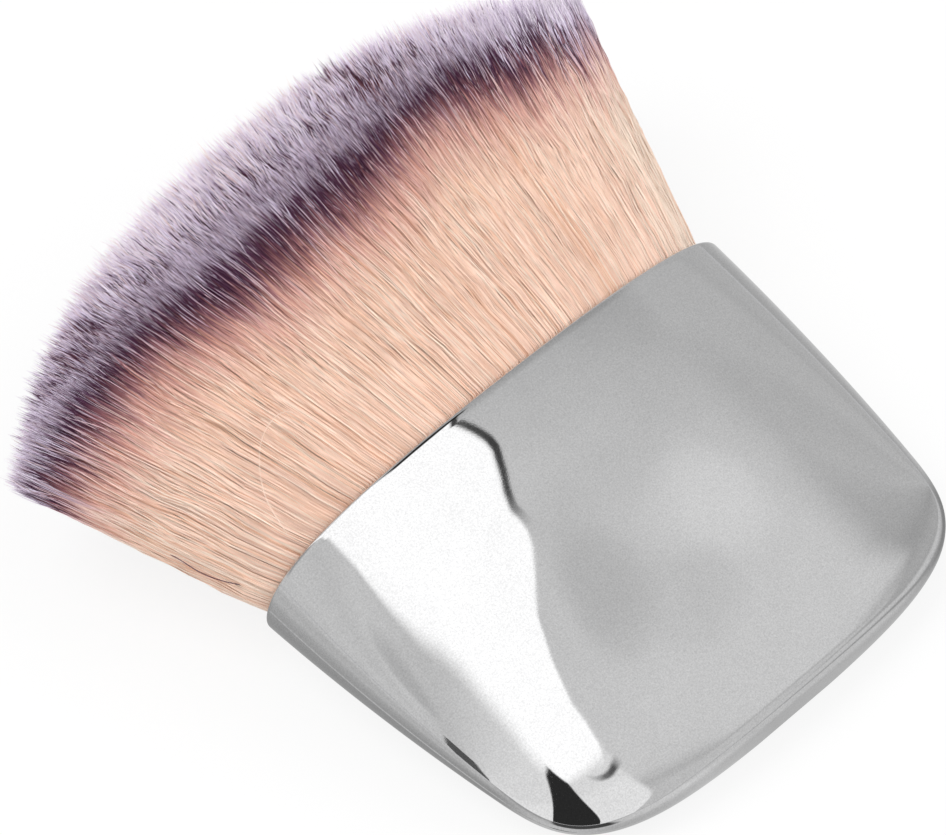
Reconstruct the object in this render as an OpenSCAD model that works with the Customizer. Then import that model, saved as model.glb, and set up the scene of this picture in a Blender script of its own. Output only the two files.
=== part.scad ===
// Flat, flared kabuki brush that lies on the back of its handle.
// The shapes are drawn in the brush's own axes: X across its width, Y from front to back, Z along its
// length with the mouth of the handle at 0 and the bristles above it. Laid down, it then points along +Y.

/* [Handle outline] */
// Width of the handle at its mouth
mouth_w = 58; // [54:0.5:62]
// Width half way between mouth and toe
waist_w = 56.3; // [53:0.1:58]
// Width at the toe before its corners are rounded
toe_w = 50.5; // [46:0.5:54]
// Length of the handle from mouth to toe
handle_len = 37.2; // [35:0.2:44]
// Height over which the corners of the toe round in
corner_h = 12; // [9:0.5:14]
// Squareness of the toe's corners, 2 being an ellipse
corner_power = 3.7; // [2.5:0.1:5]

/* [Handle section] */
// Depth of the handle at its mouth, front to back
mouth_d = 20.7; // [19:0.1:24]
// Depth of the handle at its toe
toe_d = 5.1; // [4.5:0.1:6.5]
// Squareness of the oval at the mouth
mouth_power = 2.5; // [2.1:0.1:3.5]
// Squareness of the oval at the toe
toe_power = 2.3; // [2.1:0.1:3]
// Thickness of the moulded wall
wall = 1.3; // [1:0.1:1.5]
// Thickness of solid plastic at the toe
toe_wall = 2.6; // [2:0.1:4]
// Rounding of the lip's outer and inner edges
lip_r = 0.5; // [0.2:0.05:0.5]
// Rounding along the edges of the toe
toe_r = 1.2; // [0.6:0.1:1.6]
// How much the back is flattened so that the brush lies still
rest_relief = 0.15; // [0.05:0.05:0.3]

/* [Tuft cup] */
// Depth of the drawn cup that holds the bristle roots
cup_depth = 12; // [9:0.5:14]
// Thickness of the cup's metal
cup_wall = 0.4; // [0.3:0.05:0.6]
// How far the cup's edge lies below the mouth
cup_recess = 1.2; // [1:0.1:2]
// Width of the glue line between cup and handle
glue_line = 0.2; // [0.15:0.05:0.4]
// Height of the glue line
glue_h = 7; // [4:0.5:8]

/* [Handle weight] */
// Space between the steel weight and the cup above it
weight_gap = 2; // [1:0.5:6]
// Space between the weight and the wall round it
weight_clear = 0.4; // [0.3:0.05:0.8]
// Thickness of the glue bed between the weight and the toe
bed_h = 2; // [1:0.1:3]

/* [Bristle roots] */
// How far the bound roots stay below the mouth
root_recess = 1.3; // [1.2:0.1:2.5]
// Height of the resin under the bound roots
epoxy_h = 3; // [1.5:0.5:3.5]
// Space between the roots and the cup's wall
root_clear = 0.35; // [0.3:0.05:0.6]
// Width of the band that binds the roots
band_w = 1.6; // [1:0.1:2.5]
// Thickness of that band
band_t = 0.2; // [0.15:0.05:0.25]
// Gap between pieces that touch when glued
film = 0.05; // [0.02:0.01:0.08]

/* [Tuft] */
// Height of the tallest bristles above the mouth
crest_h = 37.6; // [34:0.2:42]
// Height of the outermost bristles above the mouth
edge_h = 25.8; // [24:0.2:30]
// How much higher the right corner of the dome is than the mean of the two
skew_h = 2.1; // [0:0.1:3]
// Roundness of the dome
dome_power = 2.2; // [1.8:0.1:3]
// How far the outermost bristles bend out to each side as they pass the lip
lip_side = 1.4; // [0.4:0.1:1.6]
// How far they bend out to front and back there
lip_deep = 1.8; // [0.4:0.1:1.9]
// Angle at which the bristles spread to each side above the lip
spread_side = 23.5; // [16:0.5:27]
// Angle at which they spread to front and back above it
spread_deep = 4; // [2:0.5:6]
// Lean of the whole tuft to the right
lean = 3; // [0:0.5:5]
// Rows of bristles from front to back
rows = 13; // [11:1:14]
// Bristles across the widest row
columns = 44; // [36:1:44]
// Space between neighbouring bristles at their roots
strand_gap = 0.12; // [0.1:0.02:0.2]
// Greatest difference in length between neighbouring bristles
ragged = 1.6; // [0:0.1:2.5]
// Greatest sideways stray of a bristle's tip
stray = 0.3; // [0:0.05:0.3]

/* [Hidden] */

// Points round every oval, and rings along the sides, the toe's corners and the lip of the handle
sides = 64;
side_rings = 5;
corner_rings = 9;
lip_rings = 3;
// Greatest height between the rings of the cup and of what stands in it, which follow the curved sides
ring_pitch = 3.2;
// Steps across each side of a slice of the bound roots
slice_steps = 10;

// The wedge lies on its back, which leans from the axis by this angle
wedge_tilt = atan((mouth_d - toe_d) / 2 / handle_len);
// The frame's origin is on the flattened back, half way along the handle
rest_at = handle_len / 2;

// Insets from the outside of the handle, each on the last
cup_outside = wall + glue_line;
cup_inside = cup_outside + cup_wall;
root_outside = cup_inside + root_clear;

// Heights in the brush's axes, from the toe up
cavity_floor = toe_wall - handle_len;
bed_low = cavity_floor + 2 * film;
weight_low = bed_low + bed_h + film;
cup_low = -cup_recess - cup_depth;
weight_high = cup_low - weight_gap;
glue_low = cup_low + (cup_depth - glue_h) / 2;
epoxy_low = cup_low + cup_wall + film;
root_low = epoxy_low + epoxy_h + film;
root_high = -root_recess;
band_low = (root_low + root_high - band_w) / 2;

// Every third of the bristle rows is one layer of the tuft
core_rows = rows - 2 * floor(rows / 3);
// How far above the mouth the bristles have passed the lip, and that height above their roots
lip_rise = 0.5;
lip_pass = root_recess + lip_rise;
// Share of a bristle's length where its tip begins, and how much thicker it is there than at its root
strand_shoulder = 0.86;
shoulder_w = 1.05;
// How far a bristle runs into the bound roots
strand_sink = 0.15;
// Where a row's width is taken, in shares of its thickness from its middle
row_end = 0.3;

function mix(a, b, t) = a + (b - a) * t;
function clamp(v, low, high) = min(max(v, low), high);
// Even spread of numbers from 0 to 1 that looks random and never changes
function scatter(i, k) = let (v = sin(i * 127.1 + k * 311.7) * 437.5453) v - floor(v);

// Half width of the sides, before the corners: a curve through mouth, waist and toe
function side_half(s) = mix(mix(mouth_w, waist_w * 2 - (mouth_w + toe_w) / 2, s),
    mix(waist_w * 2 - (mouth_w + toe_w) / 2, toe_w, s), s) / 2;
// How far the toe's corners draw that in, for a shape that ends at low
function corner_share(z, low, corner) =
    let (t = clamp((low + corner - z) / corner, 0, 1))
    pow(1 - pow(t, corner_power), 1 / corner_power);
function half_w(z, inset, low) =
    (side_half(-z / handle_len) - inset) * corner_share(z, low, corner_h - inset);
function half_d(z) = mix(mouth_d, toe_d, -z / handle_len) / 2;
function oval_power(z) = mix(mouth_power, toe_power, -z / handle_len);

// How far the edge of the toe rounds in front and back
function toe_cut(z, low, r) = let (up = clamp(z - low, 0, r)) r - sqrt(r * r - (r - up) * (r - up));

function signed_pow(v, p) = sign(v) * pow(abs(v), p);
// The oval ring at height z that lies inset under the handle's skin, with its back flattened.
// A shape that ends at low is drawn as if it went on for one film, so that its last ring has a width.
function skin_ring(z, inset, low, r = 0) = let (
        w = half_w(z, inset, low - film),
        d = half_d(z) - inset - toe_cut(z, low, r),
        p = 2 / oval_power(z))
    [for (i = [0 : sides - 1]) let (a = 360 * (i + 0.5) / sides)
        [w * signed_pow(cos(a), p), min(d * signed_pow(sin(a), p), d - rest_relief), z]];

// Heights from low to high, closer together where the corners of the toe round in
function heights(low, high, corner) = concat(
    [for (i = [0 : corner_rings]) low + corner * (1 - pow(cos(90 * i / corner_rings), 2 / corner_power))],
    [for (i = [1 : side_rings]) mix(low + corner, high, i / side_rings)]);
function reversed(list) = [for (i = [len(list) - 1 : -1 : 0]) list[i]];
// Even heights from one to another
function ladder(from, to) = let (count = ceil(abs(to - from) / ring_pitch))
    [for (i = [0 : count]) mix(from, to, i / count)];

// Triangles between rings that follow one another, closed at both ends
function loft_faces(rings, count) = concat(
    [[for (i = [0 : count - 1]) i]],
    [for (j = [0 : rings - 2]) for (i = [0 : count - 1]) let (k = (i + 1) % count)
        each [[j * count + i, (j + 1) * count + i, (j + 1) * count + k],
            [j * count + i, (j + 1) * count + k, j * count + k]]],
    [[for (i = [count - 1 : -1 : 0]) (rings - 1) * count + i]]);

module loft(rings) {
    polyhedron(points = [for (ring = rings) each ring], faces = loft_faces(len(rings), len(rings[0])));
}

// Lays the brush on its flattened back, with the origin under the middle of the handle
module laid_down() {
    rotate([wedge_tilt - 90, 0, 0])
        translate([0, rest_relief - half_d(-rest_at), rest_at])
            children();
}

// Oval tube between two heights, from one inset under the handle's skin to another
module sleeve(low, high, outside, inside) {
    rings = concat([for (z = ladder(low, high)) skin_ring(z, outside, -handle_len)],
        [for (z = ladder(high, low)) skin_ring(z, inside, -handle_len)]);
    faces = [for (j = [0 : len(rings) - 1]) for (i = [0 : sides - 1])
        let (k = (i + 1) % sides, up = (j + 1) % len(rings))
        each [[j * sides + i, up * sides + i, up * sides + k],
            [j * sides + i, up * sides + k, j * sides + k]]];
    polyhedron(points = [for (ring = rings) each ring], faces = faces);
}

// One-piece moulded wedge with an oval mouth, a rounded lip and a thin rounded toe
module handle_shell() {
    outside = [for (z = heights(-handle_len, -lip_r, corner_h)) skin_ring(z, 0, -handle_len, toe_r)];
    lip_turns = [for (i = [1 : lip_rings]) 90 * i / lip_rings];
    lip_outside = [for (a = lip_turns)
        skin_ring(-lip_r * (1 - sin(a)), lip_r * (1 - cos(a)), -handle_len)];
    lip_inside = [for (a = lip_turns)
        skin_ring(-lip_r * (1 - cos(a)), wall - lip_r * (1 - sin(a)), -handle_len)];
    cavity = [for (z = heights(cavity_floor, -lip_r, corner_h - wall)) if (z < -lip_r)
        skin_ring(z, wall, cavity_floor)];
    color([0.78, 0.79, 0.81]) laid_down()
        loft(concat(outside, lip_outside, lip_inside, reversed(cavity)));
}

// Drawn metal cup that holds the bound roots
module tuft_cup() {
    color([0.7, 0.7, 0.72]) laid_down()
        loft(concat([for (z = ladder(cup_low, -cup_recess)) skin_ring(z, cup_outside, -handle_len)],
            [for (z = ladder(-cup_recess, cup_low + cup_wall)) skin_ring(z, cup_inside, -handle_len)]));
}

// Glue line between the cup and the handle
module cup_adhesive() {
    color([0.9, 0.85, 0.6]) laid_down()
        sleeve(glue_low, glue_low + glue_h, wall + film, cup_outside - film);
}

// Rings of what fills the toe, between two heights and clear of the wall
function fill_rings(low, high) = let (inset = wall + weight_clear,
        between = [for (z = heights(bed_low, high, corner_h - inset)) if (z > low && z < high) z])
    [for (z = concat([low], between, [high])) skin_ring(z, inset, bed_low)];

// Steel weight that fills the wedge below the cup
module base_weight() {
    color([0.5, 0.5, 0.53]) laid_down() loft(fill_rings(weight_low, weight_high));
}

// Glue bed between the weight and the toe
module weight_adhesive() {
    color([0.9, 0.85, 0.6]) laid_down() loft(fill_rings(bed_low, bed_low + bed_h));
}

// Resin under the roots, at the bottom of the cup
module root_epoxy() {
    color([0.85, 0.75, 0.5]) laid_down()
        loft([for (z = ladder(epoxy_low, epoxy_low + epoxy_h))
            skin_ring(z, cup_inside + film, -handle_len)]);
}

// Band that binds the roots together
module root_band() {
    color([0.25, 0.25, 0.27]) laid_down()
        sleeve(band_low, band_low + band_w, root_outside - film - band_t, root_outside - film);
}

// Half sizes of the bound roots, and a row's share of the width there
function root_half_w(z) = half_w(z, root_outside, -handle_len);
function root_half_d(z) = half_d(z) - root_outside - rest_relief;
function width_share(f, z) = pow(1 - pow(abs(f), oval_power(z)), 1 / oval_power(z));

// A ring of the bound roots between two shares of their depth, from -1 at the front to 1 at the back
function slice_ring(z, front, back) = let (w = root_half_w(z), d = root_half_d(z),
        shares = [for (i = [0 : slice_steps]) mix(front, back, i / slice_steps)])
    concat([for (f = shares) [w * width_share(f, z), d * f, z]],
        [for (f = reversed(shares)) [-w * width_share(f, z), d * f, z]]);

// How far the outermost bristles stand out at height h above the roots, past the lip and then fanned out
function stand_out(h, lip, spread) = lip * clamp(h / lip_pass, 0, 1) + max(h - lip_pass, 0) * tan(spread);
// Where a bristle's middle lies at height h above the roots, and how far its tip has strayed by then
function strand_at(x, y, h, stray_x, stray_y, length) = [
    x * (1 + stand_out(h, lip_side, spread_side) / root_half_w(root_high))
        + h * tan(lean) + stray_x * h / length,
    y * (1 + stand_out(h, lip_deep, spread_deep) / root_half_d(root_high)) + stray_y * h / length,
    root_high + h];

// A bristle's share of the way from the middle of the tuft to its edge, and its length
function dome_share(x, y) = let (p = oval_power(root_high))
    min(1, pow(pow(abs(x / root_half_w(root_high)), p) + pow(abs(y / root_half_d(root_high)), p), 1 / p));
function strand_length(x, y, i) = root_recess + mix(crest_h, edge_h, pow(dome_share(x, y), dome_power))
    + skew_h * x / root_half_w(root_high) - ragged * scatter(i, 3);

// One tapering bristle of three sides, rooted at x, y
module strand(x, y, r, i) {
    length = strand_length(x, y, i);
    turn = 120 * scatter(i, 5);
    stray_x = stray * (2 * scatter(i, 1) - 1);
    stray_y = stray * (2 * scatter(i, 2) - 1);
    levels = [[-strand_sink, r], [lip_pass, r], [length * strand_shoulder, r * shoulder_w]];
    rings = [for (level = levels) for (a = [0 : 120 : 240])
        strand_at(x, y, level[0], stray_x, stray_y, length)
            + [level[1] * cos(a + turn), level[1] * sin(a + turn), 0]];
    walls = [for (j = [0 : 1]) for (k = [0 : 2]) let (m = (k + 1) % 3)
        each [[j * 3 + k, (j + 1) * 3 + k, (j + 1) * 3 + m], [j * 3 + k, (j + 1) * 3 + m, j * 3 + m]]];
    tip = [for (k = [0 : 2]) [6 + k, 9, 6 + (k + 1) % 3]];
    polyhedron(points = concat(rings, [strand_at(x, y, length, stray_x, stray_y, length)]),
        faces = concat([[0, 1, 2]], walls, tip));
}

// A layer of the tuft: rows of bristles fused to their slice of the bound roots
module bristle_layer(first, last) {
    row_pitch = 2 / rows;
    trim = film / root_half_d(root_low);
    front = -1 + first * row_pitch + (first > 0 ? trim : trim / 2);
    back = -1 + (last + 1) * row_pitch - (last < rows - 1 ? trim : trim / 2);
    r = (min(root_half_d(root_high) * row_pitch, 2 * root_half_w(root_high) / columns) - strand_gap) / 2;
    loft([for (z = ladder(root_low, root_high)) slice_ring(z, front, back)]);
    for (row = [first : last]) {
        f = -1 + (row + 0.5) * row_pitch;
        share = width_share(min(abs(f) + row_end * row_pitch, 1), root_high);
        half = root_half_w(root_high) * share;
        count = max(1, round(columns * share));
        for (column = [0 : count - 1])
            strand(half * ((2 * column + 1) / count - 1), root_half_d(root_high) * f, r,
                row * columns + column);
    }
}

// Layer of bristles that faces the front
module front_bristles() {
    color([0.91, 0.74, 0.66]) laid_down() bristle_layer(0, floor(rows / 3) - 1);
}

// Layer of bristles in the middle, with the crest of the dome
module middle_bristles() {
    color([0.52, 0.36, 0.42]) laid_down()
        bristle_layer(floor(rows / 3), floor(rows / 3) + core_rows - 1);
}

// Layer of bristles at the back
module back_bristles() {
    color([0.91, 0.74, 0.66]) laid_down() bristle_layer(rows - floor(rows / 3), rows - 1);
}

handle_shell();
tuft_cup();
cup_adhesive();
base_weight();
weight_adhesive();
root_epoxy();
root_band();
front_bristles();
middle_bristles();
back_bristles();
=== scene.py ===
import math
import bpy
import numpy as np
from mathutils import Matrix, Vector


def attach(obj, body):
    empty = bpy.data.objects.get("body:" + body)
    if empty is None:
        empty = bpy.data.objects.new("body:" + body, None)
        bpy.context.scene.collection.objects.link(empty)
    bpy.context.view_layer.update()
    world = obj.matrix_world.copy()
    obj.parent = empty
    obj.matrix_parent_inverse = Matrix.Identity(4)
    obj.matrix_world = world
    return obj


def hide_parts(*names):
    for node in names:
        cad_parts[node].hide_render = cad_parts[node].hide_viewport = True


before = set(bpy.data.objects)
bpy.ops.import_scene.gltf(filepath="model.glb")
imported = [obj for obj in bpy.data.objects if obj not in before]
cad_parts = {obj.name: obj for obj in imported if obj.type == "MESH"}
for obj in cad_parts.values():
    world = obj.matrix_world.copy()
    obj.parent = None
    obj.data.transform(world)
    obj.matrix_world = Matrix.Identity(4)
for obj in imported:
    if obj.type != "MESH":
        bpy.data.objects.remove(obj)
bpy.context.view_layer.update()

MM = 0.001

# ---------------------------------------------------------------- sizes of the brush, in mm
# The brush's own axes: X across, Y from front to back, Z along it with the handle's mouth at 0.
MOUTH_W, WAIST_W, TOE_W, LENGTH = 58, 56.3, 50.5, 37.2   # widths of the handle, and its length
MOUTH_D, TOE_D = 20.7, 5.1                               # thickness of the handle
MOUTH_P, TOE_P = 2.5, 2.3                                # powers of its superellipse sections
CORNER_H, CORNER_P = 12, 3.7                             # height and power of the toe's corners
WALL, TOE_WALL, LIP_R, TOE_R = 1.3, 2.6, 0.5, 1.2
RELIEF = 0.15                                            # what the flattened back takes off
FILM = 0.05                                              # sections close this far under the toe
BEAD_H, BEAD_W = 0.05, 0.07                              # moulding line down both sides
TILT = math.atan((MOUTH_D - TOE_D) / 2 / LENGTH)
REST_AT = LENGTH / 2
HALF_AT_REST = (MOUTH_D + (TOE_D - MOUTH_D) / 2) / 2

# Half axes of the tuft's sections over the height
LEVELS = [-1.5, -1.0, -0.5, 0.0, 0.5, 2.0, 5.0, 10.0, 20.0, 30.0, 42.0]
WIDE = [26.7, 27.0, 27.5, 28.0, 28.35, 29.15, 30.3, 32.3, 36.4, 40.8, 46.1]
DEEP = [7.95, 8.1, 8.7, 9.25, 9.6, 9.75, 9.9, 10.1, 10.5, 11.2, 12.4]
BASE = LEVELS[0]
OVAL = 2.5
LEAN = math.tan(math.radians(3))
RIGHT_IN = 0.8                                           # how far the tuft's right edge stands in
CREST, EDGE, SKEW, DOME_P = 38.7, 26.4, 2.1, 2.2         # heights, slant and power of the dome
LID_H = 26.55                                            # no stray stands higher above the table

# Mean half axes of the tuft: of its skin, where its perimeter is measured, and near the dome
SKIN_X, SKIN_Y = 36.4, 10.5
ROUND_X, ROUND_Y = 34.3, 10.3
NEAR_DOME_X, NEAR_DOME_Y = 39.0, 10.8
RIPPLE_X = 36

# Neighbouring fibres form clumps of this pitch, and locks of this size share their white tips
CLUMP, LOCK_W, LOCK_D = 0.6, 0.26, 0.7
# Heights of the levels of a fibre near the lip, and the number of levels above them
ROOT_LEVELS = np.array([-1.4, -0.7, -0.1, 0.5, 1.3, 2.6])
UPPER_LEVELS = 9
# The closed body behind the fibres: depth under the skin, height of its side, drop under the dome
CORE_INSET, CORE_TOP, CORE_DROP = 0.9, 21.0, 3.6
MAX_TRIANGLES = 196000                                   # in one piece of fibres

# Across the front of the tuft from left to right: where the plum ends in mm under the dome, how
# long the white tips are, and the share of pale fibres, which also paint highlights along fibres
EDGE_X = [-38, -34, -31, -28, -24, -20, -15, -10, -5,
          0, 5, 10, 15, 20, 24, 28, 31, 38]
EDGE_T = [2.4, 2.1, 2.4, 1.5, 1.0, 2.4, 4.6, 4.3, 3.6,
          4.2, 3.6, 0.9, 2.4, 4.0, 4.3, 4.1, 4.0, 3.0]
TIP_T = [3.0, 0.9, 0.3, 0.2, 0.1, 0.2, 0.35, 0.4, 0.4,
         0.4, 0.2, 0.2, 0.4, 0.9, 2.0, 3.6, 6.5, 9.0]
PALE_T = [0.50, 0.30, 0.20, 0.18, 0.16, 0.14, 0.14, 0.14, 0.14,
          0.14, 0.14, 0.16, 0.16, 0.18, 0.20, 0.34, 0.62, 0.96]

rng = np.random.default_rng(11)


def mix(a, b, t):
    return a + (b - a) * t


def hermite(t):
    t = np.clip(t, 0.0, 1.0)
    return t * t * (3 - 2 * t)


def to_frame(p):
    """Points in the brush's axes, in mm, to the shared frame, in metres."""
    p = np.asarray(p, float)
    y, z = p[..., 1] + RELIEF - HALF_AT_REST, p[..., 2] + REST_AT
    s, c = math.sin(TILT), math.cos(TILT)
    return np.stack([p[..., 0], y * s + z * c, -y * c + z * s], -1) * MM


def turn(v):
    """A direction in the brush's axes to the shared frame."""
    s, c = math.sin(TILT), math.cos(TILT)
    return Vector((v[0], v[1] * s + v[2] * c, -v[1] * c + v[2] * s))


# ---------------------------------------------------------------- node helpers
def srgb(r, g, b):
    def one(v):
        v /= 255.0
        return v / 12.92 if v <= 0.04045 else ((v + 0.055) / 1.055) ** 2.4
    return (one(r), one(g), one(b), 1.0)


def grey(v):
    return (v, v, v, 1.0)


class Graph:
    """Short ways to add shader nodes to one tree."""

    def __init__(self, tree):
        self.tree = tree
        tree.nodes.clear()

    def put(self, socket, value):
        if isinstance(value, bpy.types.NodeSocket):
            self.tree.links.new(value, socket)
        else:
            socket.default_value = value

    def node(self, kind, inputs=None, **settings):
        n = self.tree.nodes.new(kind)
        for k, v in settings.items():
            setattr(n, k, v)
        for k, v in (inputs or {}).items():
            self.put(n.inputs[k], v)
        return n

    def math(self, op, a, b=0.0):
        return self.node("ShaderNodeMath", {0: a, 1: b}, operation=op).outputs[0]

    def add(self, a, b):
        return self.math("ADD", a, b)

    def sub(self, a, b):
        return self.math("SUBTRACT", a, b)

    def mul(self, a, *more):
        for b in more:
            a = self.math("MULTIPLY", a, b)
        return a

    def step(self, x, low, high, a=0.0, b=1.0, kind="SMOOTHSTEP"):
        """Goes from a to b while x goes from low to high."""
        n = self.node("ShaderNodeMapRange", {"Value": x, "From Min": low, "From Max": high,
                                             "To Min": a, "To Max": b}, interpolation_type=kind)
        return n.outputs["Result"]

    def blend(self, fac, a, b, how="MIX"):
        n = self.node("ShaderNodeMix", data_type="RGBA", blend_type=how)
        for i, v in ((0, fac), (6, a), (7, b)):
            self.put(n.inputs[i], v)
        return n.outputs[2]

    def ramp(self, x, stops):
        n = self.node("ShaderNodeValToRGB", {"Fac": x})
        e = n.color_ramp.elements
        while len(e) < len(stops):
            e.new(0.5)
        for i, (at, colour) in enumerate(stops):
            e[i].position = at
            e[i].color = colour if len(colour) == 4 else (*colour, 1.0)
        return n.outputs["Color"]

    def graded(self, x, low, high, stops):
        """A level that follows x, from low to high, through stops of (x, level)."""
        return self.ramp(self.step(x, low, high, 0.0, 1.0, "LINEAR"),
                         [((a - low) / (high - low), grey(v)) for a, v in stops])

    def noise(self, where, scale, detail, rough):
        n = self.node("ShaderNodeTexNoise", {"Vector": where, "Scale": scale, "Detail": detail,
                                             "Roughness": rough})
        return n.outputs["Fac"]

    def place(self, stretch=(1, 1, 1)):
        """Object coordinates, in metres."""
        at = self.node("ShaderNodeTexCoord").outputs["Object"]
        return self.node("ShaderNodeMapping", {"Vector": at, "Scale": stretch}).outputs["Vector"]

    def place_mm(self):
        """Object coordinates across and along the floor, in mm."""
        at = self.node("ShaderNodeSeparateXYZ", {"Vector": self.place()})
        return self.mul(at.outputs["X"], 1000.0), self.mul(at.outputs["Y"], 1000.0)

    def bump(self, height, strength, distance, normal=None):
        n = self.node("ShaderNodeBump", {"Height": height, "Strength": strength,
                                         "Distance": distance})
        if normal is not None:
            self.put(n.inputs["Normal"], normal)
        return n.outputs["Normal"]

    def attribute(self, name):
        return self.node("ShaderNodeAttribute", attribute_name=name).outputs["Fac"]

    def surface(self, **values):
        inputs = {k.replace("_", " "): v for k, v in values.items()}
        self.output("ShaderNodeOutputMaterial",
                    self.node("ShaderNodeBsdfPrincipled", inputs).outputs[0])

    def emission(self, colour):
        return self.node("ShaderNodeEmission", {"Color": colour, "Strength": 1.0}).outputs[0]

    def either(self, fac, a, b):
        return self.node("ShaderNodeMixShader", {0: fac, 1: a, 2: b}).outputs[0]

    def rays(self):
        """Whether a ray comes from the camera, straight or through something, or off metal."""
        path = self.node("ShaderNodeLightPath").outputs
        seen = self.math("MAXIMUM", path["Is Camera Ray"], path["Is Transmission Ray"])
        return seen, path["Is Glossy Ray"]

    def output(self, kind, shader):
        self.node(kind, {"Surface": shader})


def material(name):
    m = bpy.data.materials.new(name)
    m.use_nodes = True
    return m, Graph(m.node_tree)


# ---------------------------------------------------------------- materials
def plated():
    """Satin plating: a fine grain of tone, and a wave and a roughness that hardly show."""
    m, g = material("plated_shell")
    at = g.place()
    grain = g.noise(at, 6500.0, 2.0, 0.7)
    cloud = g.noise(at, 260.0, 3.0, 0.55)
    tone = g.add(g.mul(grain, 0.18), g.mul(cloud, 0.02))
    colour = g.ramp(tone, [(0.05, (0.50, 0.50, 0.503)), (0.15, (0.72, 0.72, 0.723))])
    rough = g.step(cloud, 0.3, 0.7, 0.02, 0.032)
    wave = g.bump(g.noise(at, 120.0, 1.0, 0.4), 0.02, 0.0006)
    fine = g.bump(grain, 0.005, 0.00005, wave)
    g.surface(Base_Color=colour, Metallic=1.0, Roughness=rough, Normal=fine)
    return m


def plain(name, low, high, scale, rough, more, strength, metal=0.0, stretch=(1, 1, 1)):
    """A clouded material for an inner piece."""
    m, g = material(name)
    n = g.noise(g.place(stretch), scale, 4.0, 0.6)
    g.surface(Base_Color=g.ramp(n, [(0.3, low), (0.7, high)]), Metallic=metal,
              Roughness=g.step(n, 0.3, 0.7, rough, rough + more),
              Normal=g.bump(n, strength, 0.0001))
    return m


def bare_metal(name, low, high, scale, rough, stretch):
    return plain(name, low, high, scale, rough, 0.12, 0.15, 1.0, stretch)


def moulded(name, low, high, scale, rough):
    return plain(name, srgb(*low), srgb(*high), scale, rough, 0.15, 0.3)


# Colours along a fibre, from its white tip through plum and salmon to peach
DYE = [(252, 243, 252), (230, 216, 240), (94, 60, 88), (82, 47, 70), (160, 110, 118),
       (230, 182, 172), (255, 224, 206)]
# The same of the paler fibres, which also stand in for painted highlights along fibres
PALE = [(254, 247, 254), (242, 232, 248), (226, 210, 230), (216, 190, 206), (238, 206, 210),
        (253, 222, 210), (255, 236, 220)]
LAST = len(DYE) - 1
PALE_TONE = 0.95


def fibre(name, deep):
    """Fibres by their place in DYE and their tone. The deep one, of the core, has streaks like
    fibres, whose darker parts are painted shade between fibres.
    """
    m, g = material(name)
    along = g.mul(g.attribute("dye"), 1 / LAST)
    base, pale = (g.ramp(along, [(i / LAST, srgb(*c)) for i, c in enumerate(colours)])
                  for colours in (DYE, PALE))
    tone = g.attribute("tone")
    light = g.ramp(tone, [(0.0, (0.82, 0.66, 0.54)), (0.2, (0.96, 0.90, 0.84)),
                          (0.4, (1.0, 1.0, 1.0))])
    colour = g.blend(1.0, base, light, "MULTIPLY")
    # pale fibres, which also stand in for painted highlights along fibres
    colour = g.blend(g.step(tone, 0.76, 0.88, 0.0, 0.9), colour, pale)
    if deep:
        # streaks like fibres on the core; their darker parts are painted shade between fibres
        streak = g.noise(g.place((1.0, 0.05, 1.0)), 5200.0, 3.0, 0.7)
        dark = g.ramp(streak, [(0.35, (0.78, 0.56, 0.43)), (0.62, (1.0, 0.92, 0.84))])
        g.surface(Base_Color=g.blend(1.0, colour, dark, "MULTIPLY"), Roughness=0.8,
                  Specular_IOR_Level=0.1, Normal=g.bump(streak, 0.6, 0.0002))
    else:
        g.surface(Base_Color=colour, Roughness=0.5, Specular_IOR_Level=0.15)
    return m


# ---------------------------------------------------------------- meshes
def link(name, data):
    ob = bpy.data.objects.new(name, data)
    bpy.context.scene.collection.objects.link(ob)
    return ob


def ring_object(name, rings, mat):
    """A closed skin over rings of points in the brush's axes, capped at both ends."""
    n, count = len(rings[0]), len(rings)
    i = np.arange(n)
    k = (i + 1) % n
    faces = [tuple(range(n))[::-1]]
    for j in range(count - 1):
        quads = np.stack([j * n + i, j * n + k, (j + 1) * n + k, (j + 1) * n + i], 1)
        faces += [tuple(q) for q in quads.tolist()]
    faces.append(tuple((count - 1) * n + q for q in range(n)))
    me = bpy.data.meshes.new(name)
    me.from_pydata([tuple(p) for p in to_frame(np.concatenate(rings))], [], faces)
    me.validate()
    me.polygons.foreach_set("use_smooth", np.full(len(me.polygons), True))
    me.materials.append(mat)
    me.update()
    return link(name, me)


def per_point(me, **values):
    for key, value in values.items():
        layer = me.attributes.new(key, "FLOAT", "POINT")
        layer.data.foreach_set("value", value.astype(np.float32))


# ---- handle
def half_w(z, inset=0.0, low=-LENGTH):
    corner = CORNER_H - inset
    t = min(max((low + corner - z) / corner, 0.0), 1.0)
    s = -z / LENGTH
    middle = WAIST_W * 2 - (MOUTH_W + TOE_W) / 2
    side = mix(mix(MOUTH_W, middle, s), mix(middle, TOE_W, s), s) / 2
    return (side - inset) * (1 - t ** CORNER_P) ** (1 / CORNER_P)


def half_d(z):
    return mix(MOUTH_D, TOE_D, -z / LENGTH) / 2


def section_angles():
    """Angles round a section, the same in each quarter, closer beside the moulding lines."""
    near = [0.0, 0.004, 0.008, 0.013, 0.02, 0.032]
    power = MOUTH_P / 2
    start = math.asin(near[-1] ** power)
    quarter = [math.asin(v ** power) for v in near[:-1]] + list(np.linspace(start, math.pi / 2, 72))
    up, down = quarter[:-1], quarter[:0:-1]
    return np.array(up + [math.pi - a for a in down]
                    + [math.pi + a for a in up] + [2 * math.pi - a for a in down])


ANGLES = section_angles()


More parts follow.
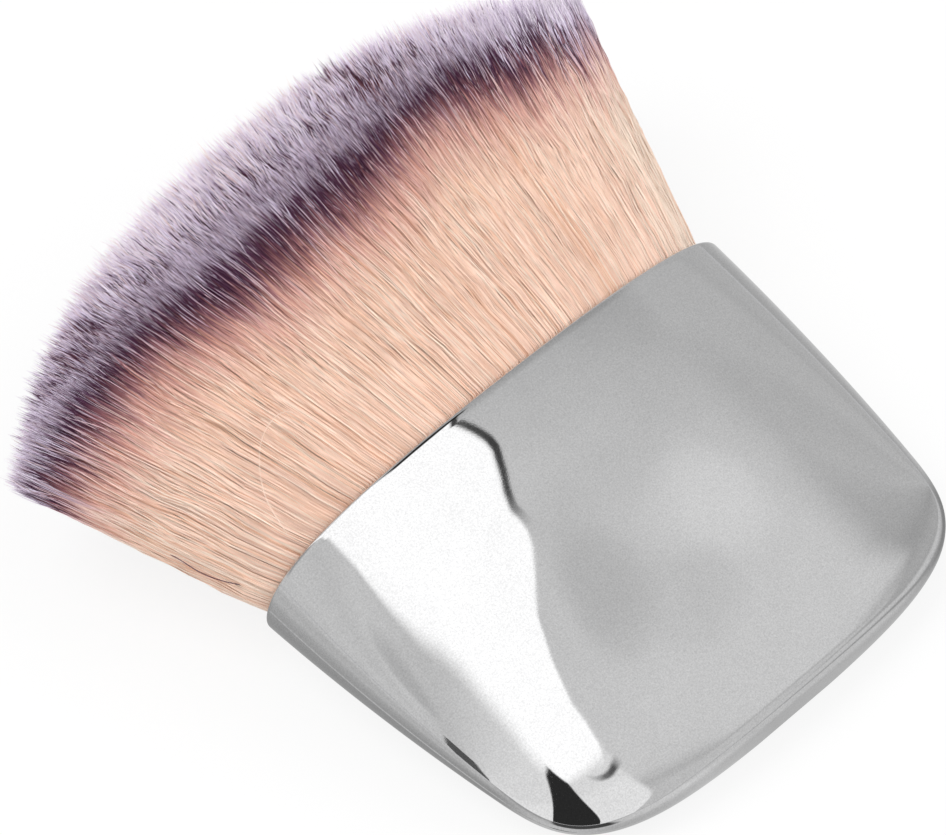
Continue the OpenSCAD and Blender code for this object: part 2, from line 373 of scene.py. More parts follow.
def skin_ring(z, inset=0.0, low=-LENGTH, r=0.0, outside=False):
    """A section of the handle, inset from its skin, and rounded by r towards low."""
    w = half_w(z, inset, low - FILM)
    up = min(max(z - low, 0.0), r)
    d = half_d(z) - inset - (r - math.sqrt(max(r * r - (r - up) ** 2, 0.0)))
    p = 2 / mix(MOUTH_P, TOE_P, -z / LENGTH)
    c, s = np.cos(ANGLES), np.sin(ANGLES)
    x = w * np.sign(c) * np.abs(c) ** p
    y = np.minimum(d * np.sign(s) * np.abs(s) ** p, d - RELIEF)
    if outside:
        x = x + np.sign(c) * BEAD_H * np.exp(-(y / BEAD_W) ** 2) * (np.abs(c) > 0.9)
    return np.stack([x, y, np.full_like(x, z)], -1)


def corner_heights(low, high, corner, turns, straight):
    """Heights of sections, closer together where the toe's corners turn."""
    out = [low + corner * (1 - math.cos(math.pi / 2 * i / turns) ** (2 / CORNER_P))
           for i in range(turns + 1)]
    top = low + corner
    return out + [mix(top, high, i / straight) for i in range(1, straight + 1)]


def handle(mat):
    rings = [skin_ring(z, 0, -LENGTH, TOE_R, True)
             for z in corner_heights(-LENGTH, -LIP_R, CORNER_H, 48, 64)]
    turns = 8
    lip = [math.pi / 2 * i / turns for i in range(1, turns + 1)]
    rings += [skin_ring(-LIP_R * (1 - math.sin(a)), LIP_R * (1 - math.cos(a))) for a in lip]
    rings += [skin_ring(-LIP_R * (1 - math.cos(a)), WALL - LIP_R * (1 - math.sin(a))) for a in lip]
    bottom = TOE_WALL - LENGTH
    inner = corner_heights(bottom, -LIP_R, CORNER_H - WALL, 10, 8)
    rings += [skin_ring(z, WALL, bottom) for z in reversed(inner) if z < -LIP_R]
    return ring_object("handle", rings, mat)


# ---- tuft: every fibre keeps its place in an oval that grows with height
def half_axes(z):
    return np.interp(z, LEVELS, WIDE), np.interp(z, LEVELS, DEEP)


def oval_point(a):
    c, s = np.cos(a), np.sin(a)
    return np.sign(c) * np.abs(c) ** (2 / OVAL), np.sign(s) * np.abs(s) ** (2 / OVAL)


def oval_share(fx, fy):
    """0 at the middle of the unit oval and 1 at its edge."""
    return np.minimum((np.abs(fx) ** OVAL + np.abs(fy) ** OVAL) ** (1 / OVAL), 1.0)


def dome(fx, fy):
    """Height of the dome over a place in the unit oval."""
    return CREST + (EDGE - CREST) * oval_share(fx, fy) ** DOME_P + SKEW * fx


def place(fx, fy, z, inset=0.0, side=0.0, deep=0.0):
    """Points in the brush's axes for places in the unit oval at heights z. The tuft leans to the
    right, and its right edge stands in a little."""
    w, d = half_axes(z)
    lean = LEAN * (z - BASE) - RIGHT_IN * np.maximum(fx, 0.0) ** 2 * hermite((z - BASE) / 3.0)
    return np.stack([fx * (w - inset) + lean + side, fy * (d - inset) + deep, z], -1)


def under_lid(paths):
    """Keeps the strays of the front from standing higher above the table than LID_H."""
    over = to_frame(paths)[..., 2] / MM - LID_H
    paths[..., 1] += np.maximum(over, 0.0) / math.cos(TILT)
    return paths


def ripple(x, z, seed):
    """Smooth, repeatable waviness of neighbouring fibres, about -1 to 1."""
    r = np.random.default_rng(seed)
    waves = 7
    total = 0.0
    for _ in range(waves):
        a, b, c = r.uniform(0.25, 1.3), r.uniform(0.35, 0.95), r.uniform(0, 6.28)
        total = total + np.sin(x * a * r.choice([-1, 1]) + z * b + c)
    return total / waves ** 0.5 / 1.4


def perimeter_places(count, r):
    """Places round the oval in mm, even along its length, with a table of lengths and angles."""
    a = np.linspace(0, 2 * np.pi, 4001)
    x, y = oval_point(a)
    ds = np.hypot(np.diff(x * ROUND_X), np.diff(y * ROUND_Y))
    s = np.concatenate([[0], np.cumsum(ds)])
    at = (np.arange(count) + r.uniform(0, 1, count)) / count * s[-1]
    return at, s, a


def clump(s, r, total):
    """The centre that each place is drawn towards."""
    n = int(total / CLUMP)
    centres = (np.arange(n) + r.uniform(0.1, 0.9, n)) * total / n
    i = np.searchsorted(centres, s) % n
    j = (i - 1) % n
    pick = np.abs(centres[i] - s) < np.abs(centres[j] - s)
    return np.where(pick, centres[i], centres[j])


def lock(x, y, seed):
    """A number from 0 to 1 that neighbouring fibres share."""
    size = 4099
    table = np.random.default_rng(seed).uniform(0, 1, size)
    return table[(np.floor(x).astype(int) * 613 + np.floor(y).astype(int) * 1999) % size]


# ---- colours of the fibres
def dye_edge(fx, r, phase):
    """How far under the dome a fibre's plum ends. It ends in tongues of neighbouring fibres."""
    x = fx * SKIN_X
    tongue = (0.5 * np.sin(x * 2.3 + 1.0) + 0.4 * np.sin(x * 5.1 + 4.0)
              + 0.35 * np.sin(x * 9.7 + phase))
    return np.interp(x, EDGE_X, EDGE_T) + tongue + r.normal(0, 0.7, len(fx))


def dye_place(under, white, edge):
    """Place in DYE at so many mm under the dome, for fibres that are white down to one and plum to
    the other."""
    white, edge = white[:, None], edge[:, None]
    white = np.minimum(white, edge + 1.0)
    low = np.maximum(edge, white + 0.7)
    knots = [white - 4.0, white, white + 0.45, low, low + 2.2, low + 4.2, low + 9.0]
    return sum(np.clip((under - a) / (b - a), 0, 1) for a, b in zip(knots, knots[1:]))


def white_length(fx, fy, r, shared):
    """Length of a fibre's white tip, short at the front edge and longer towards the crest."""
    x = fx * SKIN_X
    crest = (np.interp(x, [15, 24, 36], [6.0, 9.0, 12.0])
             * np.minimum((1 - oval_share(fx, fy)) / 0.55, 1.0) ** 2)
    return ((np.interp(x, EDGE_X, TIP_T) + crest) * r.gamma(4.0, 0.25, len(fx))
            * (0.15 + 2.0 * shared ** 1.5))


def tones(fx, r):
    """Tone of each fibre: low ones are darker, and those at PALE_TONE are pale, partly as painted
    highlights along fibres.
    """
    x = fx * SKIN_X
    pale = r.uniform(0, 1, len(fx)) < np.interp(x, EDGE_X, PALE_T)
    evener = np.interp(x, [18, 28], [0.0, 0.7])
    tone = mix(0.74 * r.beta(2.0, 2.0, len(fx)), 0.5, evener)
    return np.where(pale, PALE_TONE, tone)


# ---- fibres
def strands(name, paths, radii, dye, tone, mat):
    """Tapering three-sided fibres. paths: fibre, level, xyz in mm; dye: place in DYE."""
    count, levels = paths.shape[:2]
    along = np.gradient(paths, axis=1)
    along /= np.linalg.norm(along, axis=2, keepdims=True) + 1e-9
    ref = np.array([0.3, 0.9, 0.1])
    a = np.cross(along, ref)
    a /= np.linalg.norm(a, axis=2, keepdims=True) + 1e-9
    b = np.cross(along, a)
    spin = rng.uniform(0, 2 * np.pi, count)[:, None]
    verts = np.empty((count, levels, 3, 3))
    for k in range(3):
        t = spin + 2 * np.pi * k / 3
        out = a * np.cos(t)[..., None] + b * np.sin(t)[..., None]
        verts[:, :, k] = paths + radii[..., None] * out
    co = to_frame(verts.reshape(-1, 3)).astype(np.float32)
    base = (np.arange(count) * levels * 3)[:, None, None]
    lv = (np.arange(levels - 1) * 3)[None, :, None]
    k = np.arange(3)[None, None, :]
    m = (k + 1) % 3
    quads = np.stack([base + lv + k, base + lv + m, base + lv + 3 + m, base + lv + 3 + k], -1)
    n_faces = count * (levels - 1) * 3
    me = bpy.data.meshes.new(name)
    me.vertices.add(len(co))
    me.vertices.foreach_set("co", co.reshape(-1))
    me.loops.add(n_faces * 4)
    me.loops.foreach_set("vertex_index", quads.reshape(-1).astype(np.int32))
    me.polygons.add(n_faces)
    me.polygons.foreach_set("loop_start", np.arange(0, n_faces * 4, 4, dtype=np.int32))
    me.polygons.foreach_set("use_smooth", np.ones(n_faces, bool))
    me.update(calc_edges=True)
    per_point(me, dye=np.repeat(dye.reshape(-1), 3), tone=np.repeat(tone, levels * 3))
    strip_map(me, count, levels)
    me.materials.append(mat)
    return link(name, me)


def strip_map(me, count, levels):
    """A strip of the map for each fibre, three sides wide, with a margin round it."""
    lanes = 275
    bands = -(-count // lanes)
    col, row = np.arange(count) % lanes, np.arange(count) // lanes
    side = np.arange(4)[None, None, :]
    u = (col[:, None, None] + 0.06 + 0.88 * side / 3) / lanes
    v = (row[:, None] + 0.02 + 0.96 * np.arange(levels)[None, :] / (levels - 1)) / bands
    u0, u1, v0, v1 = u[..., :3], u[..., 1:], v[:, :-1, None], v[:, 1:, None]
    shape = (count, levels - 1, 3)
    uv = np.stack([np.broadcast_to(c, shape) for c in (u0, v0, u1, v0, u1, v1, u0, v1)], -1)
    me.uv_layers.new(name="OFBake").data.foreach_set("uv", uv.reshape(-1).astype(np.float32))


def skin_fibres(count, seed, first_depth, last_depth):
    """Whole fibres, from the lip to the dome, at these depths under the skin of the tuft."""
    r = np.random.default_rng(seed)
    s, arc, ang = perimeter_places(count, r)
    delta = clump(s, r, arc[-1]) - s
    depth = r.uniform(first_depth, last_depth, count)
    fx0, fy0 = oval_point(np.interp(s, arc, ang))
    # the place of the dome that a fibre this deep under the skin reaches
    dx, dy = fx0 * (1 - depth / SKIN_X), fy0 * (1 - depth / SKIN_Y)
    top = dome(dx, dy)
    aside = r.normal(0, 0.7, count)
    # of its stray to the side, a fibre has 0.87 at its tip
    shared = lock((s + 0.87 * aside) / LOCK_W, fy0 > 0, seed)
    tip = (top - np.minimum(r.exponential(0.8, count), 4.0) + r.normal(0, 0.3, count)
           - 1.0 * (1 - shared))
    up = np.arange(1, UPPER_LEVELS + 1) / UPPER_LEVELS
    last = ROOT_LEVELS[-1]
    z = np.concatenate([np.broadcast_to(ROOT_LEVELS, (count, len(ROOT_LEVELS))),
                        last + (tip - last)[:, None] * up[None] ** 0.95], 1)

    def wave(size, short, long):
        """A wave of its own along each fibre."""
        length = r.uniform(short, long, count)[:, None]
        return size * np.sin(z * 2 * np.pi / length + r.uniform(0, 6.28, count)[:, None])

    pull = 0.45 * hermite((z - 8) / 20.0) * r.uniform(0.0, 1.0, count)[:, None]
    together = 0.15 * ripple(s[:, None] * 1.0, z * 1.0, 5)
    own = wave(r.uniform(0.02, 0.10, count)[:, None], 8.0, 18.0)
    stray = aside[:, None] * hermite((z - 2) / 30.0)
    s_now = s[:, None] + delta[:, None] * pull + (together + own) * hermite((z - 0.5) / 5) + stray
    fx, fy = oval_point(np.interp(np.mod(s_now, arc[-1]), arc, ang))
    uneven = 0.10 * ripple(s[:, None] * 1.3 + 40, z * 1.2, 6) + wave(0.10, 7.0, 14.0)
    inset = depth[:, None] + uneven * hermite(z / 5)
    inset = np.maximum(inset, 0.02) * hermite((z - BASE) / 3 + 0.3)
    paths = under_lid(place(fx, fy, z, inset))
    root = ROOT_LEVELS[0]
    taper = np.interp((z - root) / (tip[:, None] - root), [0, 0.7, 0.93, 1.0], [1, 1, 0.75, 0.15])
    radius = r.uniform(0.037, 0.053, count)[:, None] * taper
    white = top - tip + white_length(dx, dy, r, shared)
    dye = dye_place(top[:, None] - z, white, dye_edge(fx0, r, 2.0))
    return paths, radius, dye, tones(fx0, r)


def core_fibres(count, seed, reach):
    """Fibres inside the tuft, of which only the part within reach of the dome is made."""
    r = np.random.default_rng(seed)
    rad = np.sqrt(r.uniform(0, 1, count))
    a = r.uniform(0, 2 * np.pi, count)
    c, s = np.cos(a), np.sin(a)
    # even over the oval: fewer are kept along the rays that are shorter
    edge = (np.abs(c) ** OVAL + np.abs(s) ** OVAL) ** (-1 / OVAL)
    keep = r.uniform(0, 1, count) < (edge / edge.max()) ** 2
    rad, c, s, edge = rad[keep], c[keep], s[keep], edge[keep]
    n = len(rad)
    # just clear of the skin
    fx, fy = rad * edge * c * 0.985, rad * edge * s * 0.97
    top = dome(fx, fy)
    aside, deeper = r.normal(0, 0.4, n), r.normal(0, 0.4, n)
    shared = lock((fx * NEAR_DOME_X + aside) / LOCK_W, (fy * NEAR_DOME_Y + deeper) / LOCK_D, seed)
    tip = (top - np.minimum(r.gamma(2.5, 0.6, n), 5.0) + r.normal(0, 0.2, n)
           - 1.0 * (1 - shared))
    low = top - reach
    t = np.linspace(0, 1, 6)
    z = low[:, None] + (tip - low)[:, None] * t[None]
    gx = 0.35 * ripple(fx[:, None] * RIPPLE_X * 1.1, z * 0.9 + fy[:, None] * 5, 8)
    gy = 0.30 * ripple(fx[:, None] * RIPPLE_X * 0.9 + 17, z * 0.8 + fy[:, None] * 7, 9)
    bend = hermite((z - low[:, None]) / reach)
    sx, sy = aside[:, None] * bend, deeper[:, None] * bend
    flat = np.ones_like(z)
    paths = under_lid(place(fx[:, None] * flat, fy[:, None] * flat, z, 0.0, gx + sx, gy + sy))
    taper = np.interp(t, [0, 0.55, 0.85, 1.0], [1, 0.95, 0.65, 0.12])
    radius = r.uniform(0.043, 0.060, n)[:, None] * taper[None]
    white = top - tip + white_length(fx, fy, r, shared)
    dye = dye_place(top[:, None] - z, white, dye_edge(fx, r, 5.0))
    return paths, radius, dye, tones(fx, r)


def in_pieces(name, parts, mat):
    """Splits fibres so that no piece has more triangles than MAX_TRIANGLES."""
    paths, radius, dye, tone = parts
    each = (paths.shape[1] - 1) * 3 * 2
    pieces = -(-len(paths) * each // MAX_TRIANGLES)
    order = np.argsort(rng.uniform(0, 1, len(paths)))
    made = []
    for i in range(pieces):
        pick = np.sort(order[i::pieces])
        made.append(strands(f"{name}_{i + 1}", paths[pick], radius[pick], dye[pick], tone[pick],
                            mat))
    return made


def tuft_core(mat):
    """Closed body behind the fibres, so that no gap shows through the tuft."""
    cx, cy = oval_point(ANGLES[::3])
    rings, under, across = [], [], []

    def ring(fx, fy, z, inset):
        rings.append(place(fx, fy, z, inset))
        under.append(dome(fx, fy) - z)
        across.append(fx * SKIN_X)

    for z in np.linspace(-1.2, CORE_TOP, 40):
        inset = CORE_INSET * float(hermite((z - BASE) / 4) * 0.8 + 0.2)
        ring(cx, cy, np.full_like(cx, z), inset)
    for q in np.linspace(0.97, 0.03, 26):
        fx, fy = cx * q, cy * q
        z = np.maximum(dome(fx, fy) - CORE_DROP, CORE_TOP)
        z = CORE_TOP + (z - CORE_TOP) * float(hermite((1 - q) / 0.12))
        ring(fx, fy, z, CORE_INSET * q)
    ob = ring_object("tuft_core", rings, mat)
    under, across = np.concatenate(under), np.concatenate(across)
    dye = dye_place(under[:, None], np.interp(across, EDGE_X, TIP_T),
                    np.interp(across, EDGE_X, EDGE_T))
    per_point(ob.data, dye=dye.reshape(-1), tone=np.full(len(under), 0.5))
    return ob


def loose_fibres(mat):
    """The few fibres that have come loose: a pale loop over the front and a short dark one at the
    left."""
    loop = [(-18.5, -10.0, 8.5), (-19.2, -10.6, 9.7), (-21.8, -10.7, 9.4), (-24.2, -10.5, 8.1),
            (-26.7, -10.2, 4.9), (-27.3, -9.9, 2.8), (-27.5, -9.2, 0.6)]
    short = [(-31.6, 0.0, 9.2), (-31.3, 0.0, 8.3), (-30.9, 0.0, 6.0), (-29.8, 0.0, 4.0),
             (-28.6, 0.0, 2.5)]
    levels = 33
    taper = np.interp(np.linspace(0, 1, levels), [0, 0.1, 0.9, 1.0], [0.4, 1, 1, 0.4])
    radius = 0.05 * taper
    made = []
    for name, points, dye, tone in (("loose_loop", loop, 6.0, 0.8),
                                    ("loose_hair", short, 2.6, 0.3)):
        points = np.array(points)
        at = np.linspace(0, len(points) - 1, levels)
        path = np.stack([np.interp(at, range(len(points)), points[:, k]) for k in range(3)], -1)
        for _ in range(12):
            path[1:-1] = (path[:-2] + 2 * path[1:-1] + path[2:]) / 4
        made.append(strands(name, path[None], radius[None], np.full((1, levels), dye),
                            np.array([tone]), mat))
    return made


# ---------------------------------------------------------------- the brush
shell = handle(plated())
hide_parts("handle_shell")
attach(shell, "root")

hair = fibre("bristle_fibre", False)
core = tuft_core(fibre("bristle_core", True))
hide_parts("front_bristles", "middle_bristles", "back_bristles")
pieces = [core]
pieces += in_pieces("skin_fibres", skin_fibres(19500, 21, 0.2, 1.4), hair)
pieces += in_pieces("dome_fibres", core_fibres(36000, 31, 6.0), hair)
pieces += loose_fibres(hair)
for p in pieces:
    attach(p, "root")

# The inner nodes of the CAD stay as they are, each with its own material
GLUE = (206, 190, 138), (232, 220, 170)
inner = {
    "tuft_cup": bare_metal("cup_metal", (0.62, 0.62, 0.64), (0.78, 0.78, 0.8), 900.0, 0.25,
                           (1, 0.1, 1)),
    "cup_adhesive": moulded("glue_line", *GLUE, 500.0, 0.3),
    "weight_adhesive": moulded("glue_bed", *GLUE, 400.0, 0.3),
    "base_weight": bare_metal("weight_steel", (0.38, 0.38, 0.4), (0.55, 0.55, 0.57), 700.0, 0.3,
                              (1, 1, 0.2)),
    "root_epoxy": moulded("resin", (190, 150, 84), (222, 184, 116), 300.0, 0.2),
    "root_band": moulded("band_rubber", (26, 26, 28), (52, 52, 55), 1500.0, 0.65),
}
for node, mat in inner.items():
    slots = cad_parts[node].data.materials
    slots.clear()
    slots.append(mat)

# ---------------------------------------------------------------- camera
scene = bpy.context.scene
# Its angles about the mouth in the brush's axes, and its distance and offsets in mm
PHI, THETA, ROLL = math.radians(-31.8201), math.radians(-16.4577), math.radians(47.8868)
AWAY, ASIDE, ABOVE = 522.3117, -0.5067, 2.0971


def add_camera():
    back = Vector((math.sin(PHI) * math.cos(THETA), -math.cos(PHI) * math.cos(THETA),
                   math.sin(THETA)))
    across = Vector((math.cos(PHI), math.sin(PHI), 0))
    up = Vector((-math.sin(PHI) * math.sin(THETA), math.cos(PHI) * math.sin(THETA),
                 math.cos(THETA)))
    right = across * math.cos(ROLL) - up * math.sin(ROLL)
    top = across * math.sin(ROLL) + up * math.cos(ROLL)
    cam = bpy.data.cameras.new("camera")
    cam.sensor_fit = "HORIZONTAL"
    cam.sensor_width = 36.0
    cam.lens = 224.116
    cam.clip_start, cam.clip_end = 0.01, 20.0
    camera = link("camera", cam)
    axes = Matrix([turn(right), turn(top), turn(back)]).transposed().to_4x4()
    at = Vector(to_frame(back * AWAY + across * ASIDE + up * ABOVE))
    camera.matrix_world = Matrix.Translation(at) @ axes
    scene.camera = camera


add_camera()
scene.view_settings.view_transform = "Standard"


# ---------------------------------------------------------------- stage and light
def studio():
    """White for the camera, an even light for matte things, and a graded grey for metal."""
    world = bpy.data.worlds.new("studio")
    scene.world = world
    world.use_nodes = True
    g = Graph(world.node_tree)
    seen, off_metal = g.rays()

    def background(colour, strength):
        return g.node("ShaderNodeBackground", {"Color": colour, "Strength": strength}).outputs[0]

    sky = g.node("ShaderNodeTexCoord").outputs["Generated"]
    height = g.node("ShaderNodeSeparateXYZ", {"Vector": sky}).outputs["Z"]
    shades = g.ramp(g.step(height, -0.2, 1.0, 0.0, 1.0, "LINEAR"),
                    [(0.0, (0.68, 0.68, 0.69)), (0.3, (0.74, 0.74, 0.75)),
                     (1.0, (0.86, 0.86, 0.87))])
    light = g.either(off_metal, background(grey(1.0), 0.78), background(shades, 1.0))
    g.output("ShaderNodeOutputWorld", g.either(seen, light, background(grey(1.0), 1.0)))


def slab(name, z, mat):
    """A level sheet round the brush, much wider than the picture."""
    half = 3
    corners = [(-half, -half, z), (half, -half, z), (half, half, z), (-half, half, z)]
    me = bpy.data.meshes.new(name)
    me.from_pydata(corners, [], [(0, 1, 2, 3)])
    me.materials.append(mat)
    ob = link(name, me)
    return ob


def line_side(g, x, y, a, b, soft):
    """1 on the left of the line from a to b, in mm, fading over soft."""
    dx, dy = b[0] - a[0], b[1] - a[1]
    n = math.hypot(dx, dy)
    off = (dy * a[0] - dx * a[1]) / n
    return g.step(g.add(g.add(g.mul(x, -dy / n), g.mul(y, dx / n)), off), -soft / 2, soft / 2)


def patch(g, x, y, points, soft):
    """1 inside a convex outline that runs anticlockwise."""
    return g.mul(*(line_side(g, x, y, a, b, soft) for a, b in zip(points, points[1:] + points[:1])))


def spot(g, x, y, at, size, level):
    """A soft oval spot of a level, in mm."""
    away = [g.math("POWER", g.math("ABSOLUTE", g.mul(g.add(v, -c), 1 / r)), 2.0)
            for v, c, r in zip((x, y), at, size)]
    return g.step(g.add(*away), 0.0, 1.0, level, 0.0)


def even(g, level):
    """A level as a grey colour."""
    return g.node("ShaderNodeCombineColor", {0: level, 1: level, 2: level}).outputs[0]


def floor_material():
    m, g = material("floor")
    x, y = g.place_mm()
    seen, off_metal = g.rays()
    matte = g.node("ShaderNodeBsdfDiffuse", {"Color": grey(0.85)}).outputs[0]
    both = g.either(g.mul(seen, 0.85), matte, g.emission(grey(1.0)))
    # Painted reflection of the floor, seen only by metal, beside the handle, from left to right, in
    # x, with painted shade of the brush near it
    beside = g.graded(x, -240.0, 240.0, [
        (-200, 0.80), (-100, 0.70), (-60, 0.68), (-48, 0.70), (-42, 0.60), (-36, 0.52),
        (-32, 0.42), (-28, 0.42), (-16, 0.86), (0, 0.95), (50, 0.96), (80, 0.84), (200, 0.78)])
    # and before its toe
    before = g.graded(x, -240.0, 240.0, [
        (-60, 0.5), (-22, 0.84), (-15, 0.90), (-11, 0.95), (-6, 0.86), (-2, 0.79), (8, 0.82),
        (18, 0.82), (22, 0.76), (27, 0.50), (36, 0.45), (60, 0.60), (190, 0.78)])
    near = g.blend(g.step(y, -6.0, -14.0), beside, before)
    # painted shadow where the toe comes close to the floor
    painted_toe_shadow = g.mul(g.step(y, -26.0, -19.0, 0.0, 0.28), g.step(x, -30.0, -20.0))
    near = g.blend(painted_toe_shadow, near, grey(0.0))
    # and a patch of painted dark reflection before the toe
    painted_reflection_patch = patch(g, x, y, [(-22, -25), (-34, -18), (-900, -518), (-900, -1190), (-284, -1190)], 3.0)
    # Metal sees only these painted reflections of the floor
    painted_floor_reflection = g.emission(g.blend(painted_reflection_patch, near, grey(0.08)))
    g.output("ShaderNodeOutputMaterial", g.either(off_metal, both, painted_floor_reflection))
    return m


# Edges of the painted highlight on the sheet: x in mm at a place y, in hundreds to fit a ramp.
# The left edge lies at negative x.
PAINTED_HIGHLIGHT_RIGHT = [
    (-76, 0.02), (-68, 0.08), (-64, 0.14), (-57.5, 0.18), (-50.5, 0.18), (-47, 0.215),
    (-43, 0.275), (-40.5, 0.365), (-37.8, 0.435), (-36, 0.455), (-34.5, 0.45), (-33, 0.438),
    (-31, 0.46), (-29.7, 0.485), (-28.3, 0.502), (-26.5, 0.522), (-25, 0.52), (-23.5, 0.50),
    (-22, 0.47), (-21, 0.44)]
PAINTED_HIGHLIGHT_LEFT = [
    (-52, 0.30), (-48, 0.33), (-44.3, 0.31), (-39.5, 0.33), (-35.7, 0.34), (-32, 0.40),
    (-28, 0.51), (-22.3, 0.58), (-18.5, 0.60), (-15, 0.60), (-10, 0.66), (-5, 0.72)]
# Where the front meets the lip, and the painted dark crescent at the highlight's lower end: -y in
# hundreds at a place x
LIP = [
    (-54, 0.101), (-36, 0.13), (-16, 0.1595), (-5, 0.172), (1.7, 0.18), (8, 0.187),
    (13.3, 0.1928), (17, 0.195), (23.4, 0.2), (29.7, 0.204), (36, 0.2068), (41.2, 0.2082),
    (45, 0.21), (48, 0.211), (55, 0.216)]
BOW = [
    (-6, 0.65), (-2, 0.67), (0, 0.69), (3, 0.708), (8, 0.715), (12, 0.708), (15, 0.693),
    (18, 0.68), (22, 0.665)]


def painted_reflection_right(g, x, y):
    """Painted reflection right of the highlight: a grey graded in y, with a painted glint and
    painted shade in soft spots, and regraded far off.
    """
    near = g.graded(y, -150.0, 10.0, [
        (-145, 0.80), (-120, 0.73), (-107, 0.70), (-95, 0.78), (-84, 0.88), (-72, 0.92),
        (-60, 0.92), (-50, 0.88), (-44, 0.87), (-40, 0.84), (-35, 0.79), (-30, 0.75),
        (-25, 0.71), (-20, 0.64), (-15, 0.56), (-9, 0.51), (5, 0.48)])
    # painted glint and painted shade in soft spots
    painted_glint_and_shade = g.mul(g.step(x, 105.0, 55.0, 0.0, 0.10, "LINEAR"), g.step(y, -38.0, -30.0))
    for at, size, level in (((101, -46), (25, 10), 0.12), ((57, -47), (21, 10), -0.15),
                            ((78, -55), (18, 8), -0.06)):
        painted_glint_and_shade = g.add(painted_glint_and_shade, spot(g, x, y, at, size, level))
    near = g.blend(1.0, near, even(g, painted_glint_and_shade), "ADD")
    far = g.graded(y, -400.0, 50.0, [
        (-380, 0.82), (-250, 0.58), (-140, 0.60), (-80, 0.52), (-60, 0.60), (-50, 0.64),
        (-42, 0.71), (-35, 0.69), (-28, 0.67), (-20, 0.71), (-10, 0.70), (5, 0.69),
        (20, 0.64), (45, 0.66)])
    # the far grade starts further off towards the toe
    before = g.math("MINIMUM", g.add(y, 62.0), 0.0)
    pulled = g.add(x, g.math("MAXIMUM", g.mul(before, 1.5), -45.0))
    return g.blend(g.step(pulled, 120.0, 165.0), near, far)


def painted_reflection_left(g, x, y):
    """Painted reflection left of the highlight: a grey graded in y, with one spot of painted shade,
    and even far off.
    """
    near = g.graded(y, -220.0, 200.0, [
        (-200, 1.2), (-85, 1.18), (-75, 1.10), (-47, 1.08), (-44, 1.03), (-40, 0.96),
        (-36, 0.88), (-33, 0.82), (-30, 0.78), (-26, 0.80), (-20, 0.84), (-13, 0.86),
        (-9, 0.82), (-3, 0.79), (5, 0.82), (30, 0.84), (60, 0.84), (80, 0.76), (110, 0.62),
        (170, 0.5)])
    # a spot of painted shade
    near = g.blend(1.0, near, even(g, spot(g, x, y, (-150, -21), (65, 10), 0.17)), "SUBTRACT")
    return g.blend(g.mul(g.step(x, -250.0, -450.0), g.step(y, 60.0, 90.0)), near, grey(0.82))


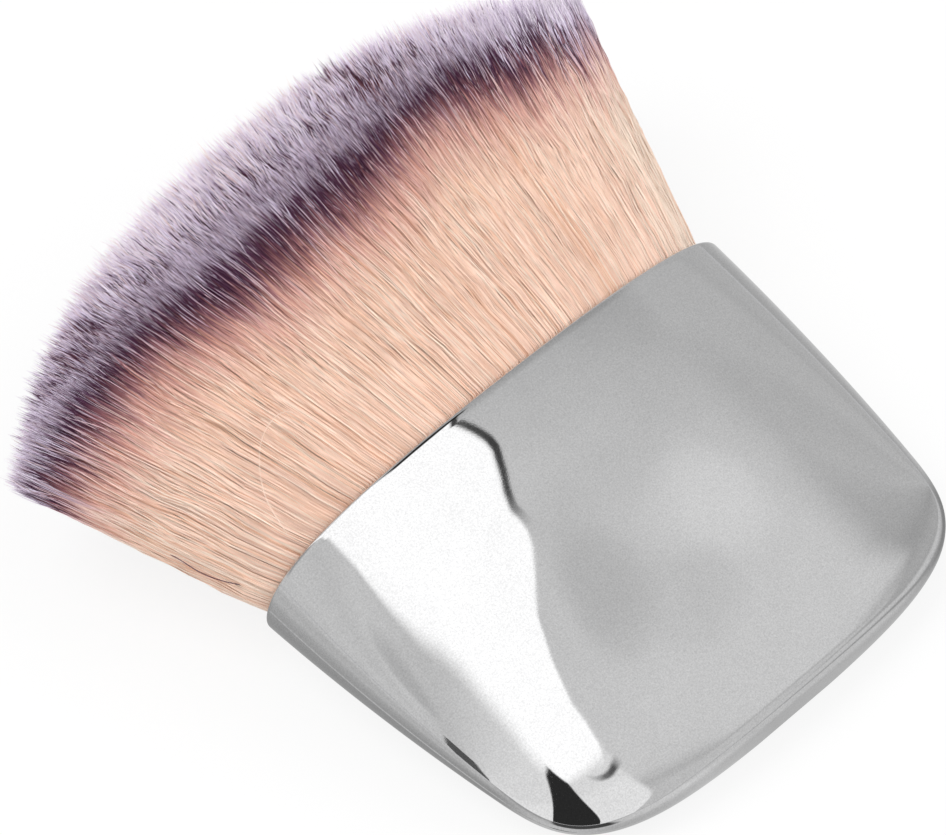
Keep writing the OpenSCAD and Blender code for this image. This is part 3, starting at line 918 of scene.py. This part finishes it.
def painted_reflection_material():
    """A sheet above the brush that glows for metal only and lights nothing: painted reflections on
    the plating.
    A painted highlight with soft edges in a graded painted grey, a painted dark line along the
    highlight's right edge and over the lip, and three painted dark reflections."""
    m, g = material("painted_reflection_sheet")
    x, y = g.place_mm()
    level = g.blend(g.step(x, 16.0, 21.0), painted_reflection_left(g, x, y), painted_reflection_right(g, x, y))
    # The painted highlight: a bright patch between these edges
    beyond = g.sub(x, g.mul(g.graded(y, -80.0, -15.0, PAINTED_HIGHLIGHT_RIGHT), 100.0))
    within = g.sub(x, g.mul(g.graded(y, -60.0, 0.0, PAINTED_HIGHLIGHT_LEFT), -100.0))
    soft = g.graded(y, -60.0, 0.0, [(-30, 1.0), (-19, 0.35), (-8, 0.25)])
    painted_reflection_patch = g.mul(g.step(beyond, 1.0, -1.2), g.step(g.math("DIVIDE", within, soft), -15.0, 12.0),
                 g.step(y, -66.0, -58.0))
    painted_highlight = g.graded(x, -60.0, 40.0, [(-50, 1.57), (-15, 1.64), (30, 1.60)])
    level = g.blend(painted_reflection_patch, level, painted_highlight)
    # Painted reflections laid over it: a light grey over the lip, painted dark lines along the
    # highlight's right edge and at the lip, a painted dark crescent and two painted dark patches
    lip = g.sub(y, g.mul(g.graded(x, -60.0, 80.0, LIP), -100.0))
    over_lip = g.mul(g.step(lip, 120.0, 160.0), g.step(x, -60.0, -50.0), g.step(x, 56.0, 52.0))
    edge = g.mul(g.step(beyond, 0.2, 1.3), g.step(beyond, 4.6, 3.2), g.step(y, -36.5, -31.0))
    rim = g.mul(g.step(lip, 15.0, 30.0), g.step(lip, 150.0, 120.0),
                g.step(x, 2.0, 12.0), g.step(x, 53.0, 50.0))
    off_bow = g.sub(y, g.mul(g.graded(x, -20.0, 40.0, BOW), -100.0))
    bow = g.mul(g.step(off_bow, -4.0, -1.0), g.step(off_bow, 4.0, 1.0),
                g.graded(x, -20.0, 40.0, [(-4, 0.0), (0, 0.3), (3, 0.55), (7, 0.9), (12, 1.0),
                                          (16, 1.0), (18, 0.7), (22, 0.0)]))
    black = patch(g, x, y, [(-27, -51), (-41, -53), (-57, -59), (-293, -203), (-2900, -1735),
                            (-2900, -2900), (-911, -2900), (-22, -63)], 2.5)
    blob = patch(g, x, y, [(-330, -37), (-340, -24), (-1200, 14), (-2900, 60), (-2900, -60),
                           (-1200, -48)], 3.0)
    for mask, dark in ((over_lip, 0.85), (edge, 0.08), (rim, 0.02), (bow, 0.14), (black, 0.035),
                       (blob, 0.13)):
        level = g.blend(mask, level, grey(dark))
    g.output("ShaderNodeOutputMaterial", g.emission(level))
    return m


studio()
slab("floor", 0.0, floor_material())
# Only metal shows this sheet of painted reflections, and it lights nothing
painted_reflection_sheet = slab("painted_reflection_sheet", 0.14, painted_reflection_material())
painted_reflection_sheet.visible_camera = False
painted_reflection_sheet.visible_diffuse = False
painted_reflection_sheet.visible_shadow = False
painted_reflection_sheet.visible_transmission = False
painted_reflection_sheet.visible_volume_scatter = False

AIM = Vector((0, 0.02, 0.01))
for name, where, size, watts in (("key", (-0.35, 0.25, 0.6), 0.5, 2.75),
                                 ("fill", (0.45, -0.35, 0.5), 0.6, 1.27)):
    lamp = bpy.data.lights.new(name, "AREA")
    lamp.shape, lamp.size, lamp.energy = "DISK", size, watts
    ob = link(name, lamp)
    ob.location = where
    ob.rotation_mode = "QUATERNION"
    ob.rotation_quaternion = (Vector(where) - AIM).to_track_quat("Z", "Y")
    ob.visible_glossy = False
